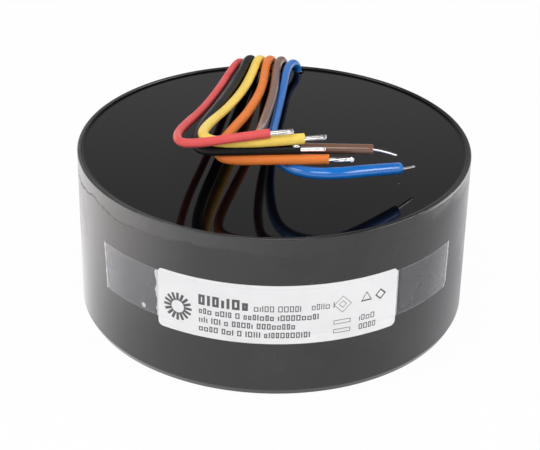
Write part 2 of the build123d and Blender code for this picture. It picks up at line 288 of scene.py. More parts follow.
def even_normals(obj):
    """Keeps broad flat faces flat beside their rounded edges."""
    take(obj)
    weighted = obj.modifiers.new("Weighted", "WEIGHTED_NORMAL")
    weighted.keep_sharp = True
    bpy.ops.object.modifier_apply(modifier=weighted.name)


def face_outwards(obj):
    """Turns the normals of a closed piece outwards."""
    take(obj)
    bpy.ops.object.mode_set(mode="EDIT")
    bpy.ops.mesh.select_all(action="SELECT")
    bpy.ops.mesh.normals_make_consistent(inside=False)
    bpy.ops.object.mode_set(mode="OBJECT")


def add_object(name, data):
    """Puts new data into the scene as an object."""
    obj = bpy.data.objects.new(name, data)
    bpy.context.scene.collection.objects.link(obj)
    return obj


def mesh_piece(name, points, faces, edges=()):
    mesh = bpy.data.meshes.new(name)
    mesh.from_pydata(points, edges, faces)
    return add_object(name, mesh)


def eased(t):
    """A share from 0 to 1 that starts and ends gently."""
    return t * t * (3 - 2 * t)


def turned(name, outline, steps):
    """A solid of revolution: a closed outline of (radius, height) spun about the upright axis."""
    count = len(outline)
    edges = [(i, (i + 1) % count) for i in range(count)]
    obj = mesh_piece(name, [(r, 0, z) for r, z in outline], [], edges)
    take(obj)
    bpy.ops.object.mode_set(mode="EDIT")
    bpy.ops.mesh.select_all(action="SELECT")
    bpy.ops.mesh.spin(steps=steps, angle=FULL_TURN, center=(0, 0, 0), axis=(0, 0, 1))
    bpy.ops.mesh.select_all(action="SELECT")
    bpy.ops.mesh.remove_doubles(threshold=0.0005 * MM)
    face_outwards(obj)
    return obj


def arc(centre, radius, start, end, steps=8):
    """Points of an arc in an outline, angles in degrees."""
    points = []
    for i in range(steps + 1):
        a = math.radians(start + (end - start) * i / steps)
        points.append((centre[0] + radius * math.cos(a), centre[1] + radius * math.sin(a)))
    return points


def join(objects, name):
    take(objects[0])
    for obj in objects[1:]:
        obj.select_set(True)
    bpy.ops.object.join()
    objects[0].name = name
    objects[0].data.name = name
    return objects[0]


def dress(obj, material):
    obj.data.materials.clear()
    obj.data.materials.append(material)


def place(obj, material, slot, *nodes):
    """The piece takes its material, stands for its nodes and rides on the part; its slot is not used."""
    dress(obj, material)
    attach(obj, "root")
    if nodes:
        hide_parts(*nodes)


# ---- shader nodes ----
def add(tree, kind, **settings):
    """A new node; a keyword sets a property, or an input where the name is one with _ for space."""
    node = tree.nodes.new(kind)
    for key, value in settings.items():
        label = key.replace("_", " ")
        if label in node.inputs:
            node.inputs[label].default_value = value
        else:
            setattr(node, key, value)
    return node


def feed(tree, socket, value):
    """Links another node's output to the socket, or sets the socket to a number or colour."""
    if isinstance(value, bpy.types.NodeSocket):
        tree.links.new(value, socket)
    else:
        socket.default_value = value


def maths(tree, operation, a, b, clamp=False):
    node = add(tree, "ShaderNodeMath", operation=operation, use_clamp=clamp)
    feed(tree, node.inputs[0], a)
    feed(tree, node.inputs[1], b)
    return node.outputs[0]


def product(tree, first, *others):
    for other in others:
        first = maths(tree, "MULTIPLY", first, other)
    return first


def apart(tree, value, centre):
    """How far a value is from a centre, on either side."""
    return maths(tree, "ABSOLUTE", maths(tree, "SUBTRACT", value, centre), 0)


def ramp(tree, value, low, high, start=0.0, end=1.0):
    """Runs smoothly from start to end as the value goes from low to high."""
    node = add(tree, "ShaderNodeMapRange", interpolation_type="SMOOTHSTEP")
    tree.links.new(value, node.inputs["Value"])
    for label, number in (("From Min", low), ("From Max", high), ("To Min", start), ("To Max", end)):
        feed(tree, node.inputs[label], number)
    return node.outputs["Result"]


def levels(tree, value, stops):
    """Grey levels set at given values, with straight lines between them."""
    node = tree.nodes.new("ShaderNodeValToRGB")
    elements = node.color_ramp.elements
    for position, _ in stops[1:-1]:
        elements.new(position)
    for element, (_, level) in zip(elements, stops):
        element.color = (level, level, level, 1)
    tree.links.new(value, node.inputs["Fac"])
    return node.outputs["Color"]


def object_point(tree):
    return tree.nodes.new("ShaderNodeTexCoord").outputs["Object"]


def split(tree, vector):
    """The vector's X, Y and Z."""
    node = tree.nodes.new("ShaderNodeSeparateXYZ")
    tree.links.new(vector, node.inputs["Vector"])
    return node.outputs


def mapped(tree, vector, **settings):
    """The vector moved or stretched."""
    node = add(tree, "ShaderNodeMapping", **settings)
    tree.links.new(vector, node.inputs["Vector"])
    return node.outputs["Vector"]


def distance(tree, vector, spot):
    node = add(tree, "ShaderNodeVectorMath", operation="DISTANCE")
    tree.links.new(vector, node.inputs[0])
    node.inputs[1].default_value = spot
    return node.outputs["Value"]


def noise_value(tree, vector, scale, detail=3.0, roughness=0.55, distortion=0.0):
    node = add(
        tree, "ShaderNodeTexNoise", Detail=detail, Roughness=roughness, Distortion=distortion
    )
    tree.links.new(vector, node.inputs["Vector"])
    feed(tree, node.inputs["Scale"], scale)
    return node.outputs["Fac"]


def blend_colour(tree, mask, first, second):
    node = add(tree, "ShaderNodeMix", data_type="RGBA")
    ends = [s for s in node.inputs if s.type == "RGBA"]
    for socket, value in zip(ends, (first, second)):
        feed(tree, socket, value if isinstance(value, bpy.types.NodeSocket) else (*value, 1))
    tree.links.new(mask, [s for s in node.inputs if s.name == "Factor" and s.type == "VALUE"][0])
    return [s for s in node.outputs if s.type == "RGBA"][0]


def blend_shaders(tree, share, first, second, out):
    """Feeds a tree's output with one shader, and with the other by that share."""
    node = tree.nodes.new("ShaderNodeMixShader")
    for socket, value in zip(node.inputs, (share, first.outputs[0], second.outputs[0])):
        tree.links.new(value, socket)
    tree.links.new(node.outputs[0], out.inputs["Surface"])


def bump(tree, shader, height, depth):
    node = add(tree, "ShaderNodeBump", Distance=depth)
    tree.links.new(height, node.inputs["Height"])
    tree.links.new(node.outputs["Normal"], shader.inputs["Normal"])


def lighter(tint, amount):
    return tuple(c + (1 - c) * amount for c in tint)


def darker(tint, amount):
    return tuple(c * (1 - amount) for c in tint)


# ---- shader groups ----
def new_group(name, output, **inputs):
    """An empty shader group with one float output, and float inputs that have these defaults."""
    group = bpy.data.node_groups.new(name, "ShaderNodeTree")
    for label, value in inputs.items():
        socket = group.interface.new_socket(label, in_out="INPUT", socket_type="NodeSocketFloat")
        socket.default_value = value
    group.interface.new_socket(output, in_out="OUTPUT", socket_type="NodeSocketFloat")
    return group, group.nodes.new("NodeGroupInput").outputs, group.nodes.new("NodeGroupOutput").inputs


def smudge_group():
    """Soft blotches where the piece was handled, with a few wiped streaks."""
    group, given, result = new_group("Handling smudges", "Mask", Scale=40.0, Amount=1.0)
    where = object_point(group)
    broad = noise_value(group, where, given["Scale"], 4.0, 0.6, 0.4)
    stretched = mapped(group, where, Scale=(1.0, 1.0, 0.18))
    streak = noise_value(group, stretched, product(group, given["Scale"], 2.5), 2.0, 0.5)
    blotch = ramp(group, broad, 0.42, 0.68)
    wiped = ramp(group, streak, 0.45, 0.75, 0.0, 0.5)
    both = maths(group, "MAXIMUM", blotch, wiped)
    mask = maths(group, "MULTIPLY", both, given["Amount"], clamp=True)
    group.links.new(mask, result["Mask"])
    return group


def dust_group():
    """Sparse small specks of dust."""
    group, given, result = new_group("Dust specks", "Mask", Scale=160.0, Size=0.06, Share=0.1)
    cells = add(group, "ShaderNodeTexVoronoi", Randomness=1.0)
    group.links.new(object_point(group), cells.inputs["Vector"])
    group.links.new(given["Scale"], cells.inputs["Scale"])
    chance = group.nodes.new("ShaderNodeSeparateColor")
    group.links.new(cells.outputs["Color"], chance.inputs["Color"])
    there = maths(group, "LESS_THAN", chance.outputs["Red"], given["Share"])
    reach = product(group, chance.outputs["Green"], given["Size"])
    small = maths(group, "LESS_THAN", cells.outputs["Distance"], reach)
    group.links.new(product(group, there, small), result["Mask"])
    return group


def grain_group():
    """Fine moulded or drawn texture, as a height."""
    group, given, result = new_group("Fine grain", "Height", Scale=1500.0, Fine=6.0)
    where = object_point(group)
    coarse = noise_value(group, where, given["Scale"], 3.0, 0.5)
    finer = product(group, given["Scale"], given["Fine"])
    fine = noise_value(group, where, finer, 2.0, 0.5)
    total = maths(group, "ADD", coarse, product(group, fine, 0.35))
    group.links.new(total, result["Height"])
    return group


def scratch_group():
    """Short hair-thin scratches."""
    group, given, result = new_group("Hair scratches", "Mask", Scale=40.0, Width=0.006)
    where = object_point(group)
    lines = noise_value(group, where, given["Scale"], 1.0, 0.4)
    thin = maths(group, "LESS_THAN", apart(group, lines, 0.5), given["Width"])
    moved = mapped(group, where, Location=(3.1, 1.7, 0.4))
    short = ramp(group, noise_value(group, moved, given["Scale"], 2.0, 0.5), 0.60, 0.66)
    group.links.new(product(group, thin, short), result["Mask"])
    return group


GROUP_MAKERS = {
    "smudges": smudge_group, "dust": dust_group, "grain": grain_group, "scratches": scratch_group,
}
GROUPS = {}


def effect(tree, name, **values):
    """Places a shared group in a material's tree, with that material's own values."""
    if name not in GROUPS:
        GROUPS[name] = GROUP_MAKERS[name]()
    node = tree.nodes.new("ShaderNodeGroup")
    node.node_tree = GROUPS[name]
    for label, value in values.items():
        node.inputs[label].default_value = value
    return node.outputs[0]


# ---- materials ----
def new_material(name, **settings):
    """A material with a Principled shader; keywords set its sockets."""
    material = bpy.data.materials.new(name)
    material.use_nodes = True
    shader = material.node_tree.nodes["Principled BSDF"]
    for key, value in settings.items():
        shader.inputs[key.replace("_", " ")].default_value = value
    return material, material.node_tree, shader


def tide_mark(tree, where):
    """A broken line that wanders a few millimetres below the rim, and the dull band above it.

    Both are clearest at the left and fade out towards the right.
    """
    x, _, z = split(tree, where)
    wander = noise_value(tree, mapped(tree, where, Scale=(1.0, 1.0, 0.0)), 24.0, 6.0)
    drop, swing = 7.0 * MM, 14 * MM
    height = maths(tree, "ADD", z, product(tree, wander, swing))
    height = maths(tree, "SUBTRACT", height, CASE_HEIGHT - drop + swing / 2)
    jagged = ramp(tree, noise_value(tree, where, 330.0), 0.3, 0.7, -0.7 * MM, 0.7 * MM)
    line = maths(tree, "ABSOLUTE", maths(tree, "ADD", height, jagged), 0)
    line = ramp(tree, line, 0.1 * MM, 0.9 * MM, 1.0, 0.0)
    broken = ramp(tree, noise_value(tree, where, 150.0), 0.34, 0.47)
    fades = ramp(tree, x, -64 * MM, -34 * MM, 1.0, 0.22)
    band = ramp(tree, height, -0.2 * MM, 1.0 * MM)
    side = ramp(tree, x, -55 * MM, 15 * MM, 1.0, 0.08)
    cloudy = ramp(tree, noise_value(tree, where, 45.0), 0.30, 0.60, 0.45, 1.0)
    return product(tree, line, broken, fades), product(tree, band, side, cloudy)


def painted_rim_highlight(tree, where):
    """Painted highlight at the right: a pale line just below the rim, and a patchy pale band under it."""
    x, y, z = split(tree, where)
    depth = maths(tree, "SUBTRACT", CASE_HEIGHT, z)
    side = ramp(tree, x, 50 * MM, 67 * MM)
    front = ramp(tree, y, 5 * MM, 20 * MM, 1.0, 0.0)
    reach = distance(tree, mapped(tree, where, Scale=(1.0, 1.0, 0.0)), (0, 0, 0))
    outer = ramp(tree, reach, CASE_RADIUS - 0.5 * MM, CASE_RADIUS - 0.2 * MM)
    # The painted highlight: a pale line just below the rim and a patchy band under it.
    line = ramp(tree, apart(tree, depth, 0.9 * MM), 0.3 * MM, 0.5 * MM, 1.0, 0.0)
    uneven = ramp(tree, noise_value(tree, where, 60.0), 0.3, 0.7, -2.5 * MM, 2.5 * MM)
    band = ramp(tree, maths(tree, "ADD", depth, uneven), 1.5 * MM, 6.0 * MM, 1.0, 0.0)
    patches = ramp(tree, noise_value(tree, where, 170.0, 5.0, 0.7), 0.36, 0.60, 0.4, 1.0)
    return product(tree, line, outer, side, front), product(tree, band, patches, outer, side, front)


def case_material(tint):
    material, tree, shader = new_material("case_plastic", IOR=1.5)
    where = object_point(tree)
    smudges = effect(tree, "smudges", Scale=22.0, Amount=0.9)
    dust = effect(tree, "dust", Scale=90.0, Size=0.05, Share=0.05)
    scratches = effect(tree, "scratches", Scale=34.0, Width=0.003)
    line, band = tide_mark(tree, where)
    # Painted highlight under the rim at the right: a pale line and a patchy band.
    painted_rim_line, painted_rim_band = painted_rim_highlight(tree, where)
    base = tint
    for mask, over in (
        (smudges, lighter(tint, 0.010)),
        (band, lighter(tint, 0.045)),
        # The next two paint a highlight under the rim at the right: a patchy band, then a pale line.
        (painted_rim_band, lighter(tint, 0.11)),
        (painted_rim_line, lighter(tint, 0.40)),
        (product(tree, scratches, 0.25), (0.12, 0.12, 0.12)),
        (dust, (0.25, 0.25, 0.25)),
    ):
        base = blend_colour(tree, mask, base, over)
    tree.links.new(base, shader.inputs["Base Color"])
    rough = ramp(tree, smudges, 0, 1, 0.19, 0.29)
    rough = maths(tree, "ADD", rough, product(tree, line, 0.28))
    tree.links.new(rough, shader.inputs["Roughness"])
    sunk = product(tree, line, 7.0)
    height = maths(tree, "SUBTRACT", effect(tree, "grain", Scale=700.0), sunk)
    bump(tree, shader, height, 0.006 * MM)
    return material


def resin_material(tint):
    material, tree, shader = new_material("potting_resin", IOR=1.40)
    dust = effect(tree, "dust", Scale=110.0, Size=0.045, Share=0.10)
    tree.links.new(blend_colour(tree, dust, tint, (0.16, 0.16, 0.17)), shader.inputs["Base Color"])
    smudges = effect(tree, "smudges", Scale=16.0)
    tree.links.new(ramp(tree, smudges, 0, 1, 0.045, 0.075), shader.inputs["Roughness"])
    return material


def handled_material(name, tint, dull, rough, spread, blotches, amount, grain, depth, **settings):
    """Duller colour and more roughness in blotches, over a fine grain of some depth in millimetres."""
    material, tree, shader = new_material(name, **settings)
    smudges = effect(tree, "smudges", Scale=blotches, Amount=amount)
    base = blend_colour(tree, smudges, tint, darker(tint, dull))
    tree.links.new(base, shader.inputs["Base Color"])
    tree.links.new(ramp(tree, smudges, 0, 1, rough, rough + spread), shader.inputs["Roughness"])
    bump(tree, shader, effect(tree, "grain", Scale=grain), depth * MM)
    return material


def sleeve_material(name, tint, gloss, rough):
    """Extruded sleeving."""
    return handled_material(
        name, tint, 0.10, rough, 0.1, 90.0, 0.8, 600.0, 0.008, IOR=1.5, Specular_IOR_Level=gloss
    )


def metal_material(name, tint, rough, dull, grain=1500.0, depth=0.01):
    """Bright metal with a slightly duller film in places."""
    return handled_material(name, tint, dull, rough, 0.14, 260.0, 1.0, grain, depth, Metallic=1.0)


def plain_material(name, tint, rough):
    """Ink, film or paper."""
    return handled_material(name, tint, 0.06, rough, 0.1, 60.0, 0.8, 900.0, 0.01)


# ---- case ----
def on_circle(radius, height):
    """A rule for choose that takes the edges of one level circle about the upright axis."""
    near = 0.05 * MM

    def rule(middle, edge):
        return all(
            abs(v.co.z - height) < near and abs(v.co.xy.length - radius) < near for v in edge.verts
        )

    return rule


class TRANSFORMER_OT_case(bpy.types.Operator):
    """Moulds the round case, open at the top, with a hole in its floor for the bush"""

    bl_idname = "transformer.case"
    bl_label = "Case"

    def execute(self, context):
        sizes = context.scene.transformer_sizes
        hole = BUSH_HIGH.x + GAP
        rest()
        bpy.ops.mesh.primitive_cylinder_add(
            vertices=320, radius=CASE_RADIUS, depth=CASE_HEIGHT, location=(0, 0, CASE_HEIGHT / 2)
        )
        case = context.object
        bpy.ops.object.transform_apply(location=True)
        bpy.ops.object.mode_set(mode="EDIT")
        choose("FACE", lambda middle, face: face.normal.z > 0.9)
        bpy.ops.mesh.inset(thickness=sizes.wall)
        bpy.ops.mesh.extrude_region_move(
            TRANSFORM_OT_translate={"value": (0, 0, CASE_FLOOR - CASE_HEIGHT)}
        )
        bpy.ops.mesh.inset(thickness=POT_RADIUS - hole)
        choose("FACE", lambda middle, face: face.normal.z < -0.9)
        bpy.ops.mesh.inset(thickness=CASE_RADIUS - hole)
        choose("FACE", lambda middle, face: middle.xy.length < hole / 2)
        bpy.ops.mesh.bridge_edge_loops()
        self.slope_foot(sizes)
        lean = math.atan2(sizes.foot_depth, sizes.foot_height)
        foot_corner = sizes.foot_round * math.tan((math.pi / 2 - lean) / 2)
        slope_corner = sizes.foot_round * math.tan(lean / 2)
        for radius, height, offset, steps in (
            (CASE_RADIUS - sizes.foot_depth, 0, foot_corner, 4),
            (CASE_RADIUS, sizes.foot_height, slope_corner, 3),
            (CASE_RADIUS, CASE_HEIGHT, sizes.rim_round, 7),
            (POT_RADIUS, CASE_HEIGHT, sizes.rim_round, 7),
            (POT_RADIUS, CASE_FLOOR, sizes.inside_round, 6),
        ):
            choose("EDGE", on_circle(radius, height))
            bpy.ops.mesh.bevel(offset=offset, segments=steps, affect="EDGES")
        face_outwards(case)
        settle(case, "moulded_case", 50)
        even_normals(case)
        place(case, case_material(context.scene.transformer_colours.case), "case_plastic", "case")
        return {"FINISHED"}

    def slope_foot(self, sizes):
        """Cuts the outer wall level with the top of the slope, then draws its bottom edge in."""
        choose("FACE", lambda middle, face: middle.xy.length > CASE_RADIUS - sizes.wall / 2)
        bpy.ops.mesh.bisect(plane_co=(0, 0, sizes.foot_height), plane_no=(0, 0, 1))
        choose("EDGE", on_circle(CASE_RADIUS, 0))
        share = 1 - sizes.foot_depth / CASE_RADIUS
        bpy.ops.transform.resize(value=(share, share, 1), center_override=(0, 0, 0))


# ---- resin ----
class TRANSFORMER_OT_resin(bpy.types.Operator):
    """Fills the case with resin that climbs a little at the wall and at each lead"""

    bl_idname = "transformer.resin"
    bl_label = "Resin"

    def execute(self, context):
        sizes = context.scene.transformer_sizes
        edge, low, fillet = POT_RADIUS - GAP, CASE_FLOOR + GAP, sizes.inside_round
        hole, bush_top = BUSH_HIGH.x + GAP, BUSH_HIGH.z + GAP
        reach = 1.6 * MM  # how far from the wall it begins to climb
        outline = [(edge * share, RESIN_TOP) for share in (0, 0.3, 0.6, 0.85)]
        for t in (i / 8 for i in range(9)):
            outline.append((edge - reach * (1 - t), RESIN_TOP + sizes.meniscus * t**3))
        outline += arc((edge - fillet, low + fillet), fillet, 0, -90)
        outline += [(hole, low), (hole, bush_top), (0, bush_top)]
        pieces = [turned("resin", outline, 320), self.ring_space()]
        pieces += [self.skirt(name, sizes.sleeve / 2) for name in LEAD_POINTS]
        resin = settle(join(pieces, "cast_resin"), "cast_resin", 45)
        finish = resin_material(context.scene.transformer_colours.resin)
        place(resin, finish, "potting_resin", "resin_fill")
        return {"FINISHED"}

    def ring_space(self):
        """The closed space that the wound ring fills, as a shell that faces inwards."""
        low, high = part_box("outer_wrap")
        bore, corner = inner_radius("outer_wrap") - GAP, 7.4 * MM
        section = rounded_section(bore, high.x + GAP, low.z - GAP, high.z + GAP, corner)
        space = turned("ring_space", section, 160)
        take(space)
        bpy.ops.object.mode_set(mode="EDIT")
        bpy.ops.mesh.select_all(action="SELECT")
        bpy.ops.mesh.flip_normals()
        return space

    def skirt(self, name, sleeve_radius):
        """The resin that climbs one lead's sleeve."""
        x, y, _ = LEAD_POINTS[name][0]
        inner, wide, sunk = sleeve_radius - 0.1 * MM, 0.9 * MM, -0.4 * MM
        outline = [(inner + wide * t, wide * (1 - t) ** 2.6) for t in (i / 7 for i in range(8))]
        skirt = turned(name, outline + [(inner + wide, sunk), (inner, sunk)], 32)
        skirt.location = (x * MM, LEAD_ROW + y * MM, RESIN_TOP)
        take(skirt)
        bpy.ops.object.transform_apply(location=True)
        return skirt


def inner_radius(node):
    """Smallest distance of a round node from the upright axis."""
    return min(v.co.xy.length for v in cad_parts[node].data.vertices)


def rounded_section(inner, outer, low, high, corner, steps=6):
    """Outline of a ring's section with four equal rounded corners, anticlockwise."""
    points = []
    for x, z, start in (
        (outer - corner, low + corner, -90),
        (outer - corner, high - corner, 0),
        (inner + corner, high - corner, 90),
        (inner + corner, low + corner, 180),
    ):
        points += arc((x, z), corner, start, start + 90, steps)
    return points


# ---- leads ----
def route(name, extra=False):
    """A lead's control points in metres; with extra, the wire's tail in the resin and its tip too."""
    points = list(LEAD_POINTS[name])
    if extra:
        across, behind, above = points[0]
        tail = (across, behind - 0.7, above - 11.0)
        points = [tail] + points + TIP_POINTS[name]
    return [Vector((x * MM, LEAD_ROW + y * MM, RESIN_TOP + z * MM)) for x, y, z in points]


def spline_points(points):
    """Points of the smooth spline that has these control points."""
    curve = bpy.data.curves.new("route", "CURVE")
    curve.dimensions = "3D"
    spline = curve.splines.new("NURBS")
    spline.points.add(len(points) - 1)
    for item, point in zip(spline.points, points):
        item.co = (*point, 1)
    spline.order_u = 3
    spline.use_endpoint_u = True
    spline.resolution_u = 14
    obj = add_object("route", curve)
    bpy.context.view_layer.update()
    mesh = bpy.data.meshes.new_from_object(obj)
    found = [v.co.copy() for v in mesh.vertices]
    bpy.data.objects.remove(obj)
    bpy.data.meshes.remove(mesh)
    if (found[0] - points[0]).length > (found[-1] - points[0]).length:
        found.reverse()
    return found


def frames(points):
    """At each point: the point, its share of the length, and the side and upper directions."""
    lengths = [0.0]
    for a, b in zip(points, points[1:]):
        lengths.append(lengths[-1] + (b - a).length)
    side = Vector((1, 0, 0))
    found = []
    for i, point in enumerate(points):
        ahead = points[min(i + 1, len(points) - 1)] - points[max(i - 1, 0)]
        ahead.normalize()
        side = (side - ahead * side.dot(ahead)).normalized()
        found.append((point, lengths[i] / lengths[-1], side.copy(), side.cross(ahead).normalized()))
    return found


def between(stations, share):
    """Width and height at a share of the length, eased between the stations."""
    for (s0, *a), (s1, *b) in zip(stations, stations[1:]):
        if share <= s1:
            t = eased((share - s0) / (s1 - s0))
            return [x + (y - x) * t for x, y in zip(a, b)]
    return list(stations[-1][1:])


def ring_faces(rings, count, close=False):
    """Quads between rings of points; with close, the last ring joins the first."""
    faces = []
    last = rings if close else rings - 1
    for i in range(last):
        j = (i + 1) % rings
        for k in range(count):
            m = (k + 1) % count
            faces.append((i * count + k, i * count + m, j * count + m, j * count + k))
    return faces


def capped_faces(rings, count):
    """Quads between rings of points, and a face across each end."""
    last = (rings - 1) * count
    return ring_faces(rings, count) + [tuple(range(count))[::-1], tuple(range(last, last + count))]


def oval(point, side, above, width, height, count, power=2.0):
    """A ring of points round a place on the route."""
    found = []
    for k in range(count):
        a = FULL_TURN * k / count
        c, s = math.cos(a), math.sin(a)
        reach = (abs(c) ** power + abs(s) ** power) ** (-1 / power)
        found.append(point + side * (c * reach * width / 2) + above * (s * reach * height / 2))
    return found


def hash_of(name):
    """A fixed number for a name, to seed its own unevenness."""
    return sum(ord(letter) for letter in name) * 0.37


def make_sleeve(name, sizes):
    """An open tube: outside, cut end, bore and buried end, in one closed skin."""
    count, power = 32, SECTION_POWER.get(name, 2.0)
    stations = [(s, w * MM, h * MM) for s, w, h in SLEEVE_SHAPES[name]]
    path = spline_points(route(name))
    along = frames(path)
    wall = (sizes.sleeve - sizes.sleeve_bore) / 2
    outside, inside = [], []
    for point, share, side, above in along:
        width, height = between(stations, share)
        outside.append(oval(point, side, above, width, height, count, power))
        inside.append(oval(point, side, above, width - 2 * wall, height - 2 * wall, count, power))
    ahead = (path[-1] - path[-2]).normalized()
    proud = point + ahead * (wall * 0.2)
    lip = [
        oval(proud, side, above, width - wall * thin, height - wall * thin, count, power)
        for thin in (0.35, 1.6)
    ]
    ragged, waves = CUT_RAGGED[name] * MM, 1.6
    for ring in [outside[-1], *lip, inside[-1]]:
        for k, corner in enumerate(ring):
            a = FULL_TURN * k / count
            seed = Vector((math.cos(a) * waves, math.sin(a) * waves, hash_of(name)))
            ring[k] = corner + ahead * (noise.noise(seed) * ragged)
    rings = outside + lip + inside[::-1]
    points = [p for ring in rings for p in ring]
    sleeve = mesh_piece(f"{name}_sleeve", points, ring_faces(len(rings), count, close=True))
    face_outwards(sleeve)
    return settle(sleeve, f"{name}_sleeve", 50), path


def rod(name, along, place_at, diameter, count=12):
    """A rod with a rounded tip beside the route; place_at gives its offset (side, up) at each share."""
    rings = []
    for point, share, side, above in along:
        across, up = place_at(share)
        middle = point + side * across + above * up
        rings.append(oval(middle, side, above, diameter, diameter, count))
    ahead = (along[-1][0] - along[-2][0]).normalized()
    for push, thin in ((0.22, 0.86), (0.38, 0.5)):
        tip, wide = middle + ahead * (push * diameter), diameter * thin
        rings.append(oval(tip, side, above, wide, wide, count))
    points = [p for ring in rings for p in ring]
    return mesh_piece(name, points, capped_faces(len(rings), count))


def lump(spot, radius, seed, stretch):
    """A lump of solder, its radius in millimetres."""
    rest()
    radius *= MM
    bpy.ops.mesh.primitive_ico_sphere_add(subdivisions=3, radius=radius, location=(0, 0, 0))
    solder = bpy.context.object
    for v in solder.data.vertices:
        v.co *= 1 + 0.35 * noise.noise(v.co / radius * 1.3 + Vector((seed, 0, 0)))
        v.co = spot + Vector([c * s for c, s in zip(v.co, stretch)])
    return solder


def solid_wire(name, along, sizes):
    """One solid wire, which lifts towards its tip."""
    lift = SOLID_TIP_LIFT[name] * MM
    start, span = 0.80, 0.14  # shares of the length

    def place_at(share):
        return 0, lift * min(1, max(0, (share - start) / span))

    return rod(f"{name}_wire", along, place_at, sizes.solid_wire, 16)


def stranded_wire(name, path, along, sizes):
    """Four twisted strands in solder, with lumps of it at the tip or beside the sleeve's end."""
    reach = 0.54 * sizes.strand  # from the middle of the wire to the middle of each strand
    pieces = []
    for i in range(4):
        phase = FULL_TURN * (i + 0.5) / 4 + hash_of(name)

        def place_at(share, phase=phase):
            a = phase + FULL_TURN * STRAND_TURNS[name] * share
            return reach * math.cos(a), reach * math.sin(a)

        pieces.append(rod(f"{name}_strand_{i}", along, place_at, sizes.strand))
    pieces.append(rod(f"{name}_solder", along, lambda share: (0, 0), sizes.strand * 1.25))
    tip = path[-1]
    ahead = (tip - path[-8]).normalized()
    for back, *shape in TIP_LUMPS.get(name, ()):
        pieces.append(lump(tip - ahead * back * MM, *shape))
    for offset, *shape in SLEEVE_LUMPS.get(name, ()):
        pieces.append(lump(route(name)[-1] + Vector(offset) * MM, *shape))
    return join(pieces, f"{name}_wire")


class TRANSFORMER_OT_leads(bpy.types.Operator):
    """Lays the six leads: an oval sleeve round tinned wire, bared at its end"""

    bl_idname = "transformer.leads"
    bl_label = "Leads"

    def execute(self, context):
        sizes = context.scene.transformer_sizes
        colours = context.scene.transformer_colours
        tinned = metal_material("tinned_wire", colours.tinned, 0.12, 0.10, 400.0, 0.0015)
        for name in LEAD_POINTS:
            sleeve, path = make_sleeve(name, sizes)
            wire_path = spline_points(route(name, extra=True))
            along = frames(wire_path)
            if name in SOLID_TIP_LIFT:
                wire = solid_wire(name, along, sizes)
            else:
                wire = stranded_wire(name, wire_path, along, sizes)
            settle(wire, f"{name}_wire", 60)
            place(wire, tinned, "tinned_wire", f"{name}_lead_wire")
            sleeving = f"{name}_sleeving"
            gloss, rough = SLEEVE_GLOSS.get(name, USUAL_GLOSS)
            finish = sleeve_material(sleeving, getattr(colours, name), gloss, rough)
            place(sleeve, finish, sleeving, f"{name}_lead_sleeve")
        return {"FINISHED"}


# ---- label ----
def wrap(obj, radius, turn):
    """Bends a flat piece (X along, Y towards the case, Z up) round the case at that radius."""
    for v in obj.data.vertices:
        angle = turn + v.co.x / radius
        reach = radius - v.co.y
        v.co = Vector((reach * math.sin(angle), -reach * math.cos(angle), v.co.z))
    obj.data.update()


def slab(low, high, thick):
    """A flat block from one corner (x, z) to another, whose face stands at -Y."""
    rest()
    bpy.ops.mesh.primitive_cube_add(size=1, location=(0, 0, 0))
    block = bpy.context.object
    block.scale = (high[0] - low[0], thick, high[1] - low[1])
    block.location = ((low[0] + high[0]) / 2, -thick / 2, (low[1] + high[1]) / 2)
    bpy.ops.object.transform_apply(location=True, rotation=True, scale=True)
    return block


def frame_of(low, high, stroke):
    """The four strokes of an upright frame, as blocks' corners."""
    (x0, z0), (x1, z1) = low, high
    return [
        ((x0, z0), (x0 + stroke, z1)), ((x1 - stroke, z0), (x1, z1)),
        ((x0 + stroke, z0), (x1 - stroke, z0 + stroke)), ((x0 + stroke, z1 - stroke), (x1 - stroke, z1)),
    ]


def greeked_line(x, z, words, height, stroke):
    """A line of print with no letters in it: each word is a row of small frames and bars."""
    blocks = []
    draw = random.Random(int(1e6 * z) + int(1e6 * x))
    for count in words:
        for _ in range(count):
            wide = height * draw.choice((0.50, 0.58, 0.66, 0.20))
            tall = height * draw.choice((1.0, 1.0, 0.76))
            if wide < height * 0.3:
                blocks.append(((x, z), (x + stroke * 1.1, z + tall)))
                wide = stroke * 1.1
            else:
                blocks += frame_of((x, z), (x + wide, z + tall), stroke)
            x += wide + height * 0.20
        x += height * 0.42
    return blocks


def outlined_polygon(x, z, radius, stroke, corners, thick):
    """An outlined polygon with the print's own thickness, whose face stands at -Y."""
    rest()
    bpy.ops.mesh.primitive_circle_add(vertices=corners, radius=radius, fill_type="NOTHING")
    mark = bpy.context.object
    bpy.ops.object.mode_set(mode="EDIT")
    bpy.ops.mesh.select_all(action="SELECT")
    bpy.ops.mesh.extrude_region_move()
    share = (radius - stroke) / radius
    bpy.ops.transform.resize(value=(share, share, share))
    take(mark)
    mark.rotation_euler = (math.pi / 2, 0, 0)
    mark.location = (x, 0, z)
    bpy.ops.object.transform_apply(location=True, rotation=True, scale=True)
    solid = mark.modifiers.new("Thick", "SOLIDIFY")
    solid.thickness, solid.offset = thick, 0
    bpy.ops.object.modifier_apply(modifier=solid.name)
    for v in mark.data.vertices:
        v.co.y -= thick / 2
    return mark


def spoked_mark(x, z, inner, outer, wide, count, thick):
    """Short radial bars in a circle, like the turns on a wound ring."""
    bars = []
    for i in range(count):
        bar = slab((-wide / 2, inner), (wide / 2, outer), thick)
        turn = FULL_TURN * i / count
        for v in bar.data.vertices:
            across, up = v.co.x, v.co.z
            v.co.x = x + across * math.cos(turn) + up * math.sin(turn)
            v.co.z = z - across * math.sin(turn) + up * math.cos(turn)
        bars.append(bar)
    return bars


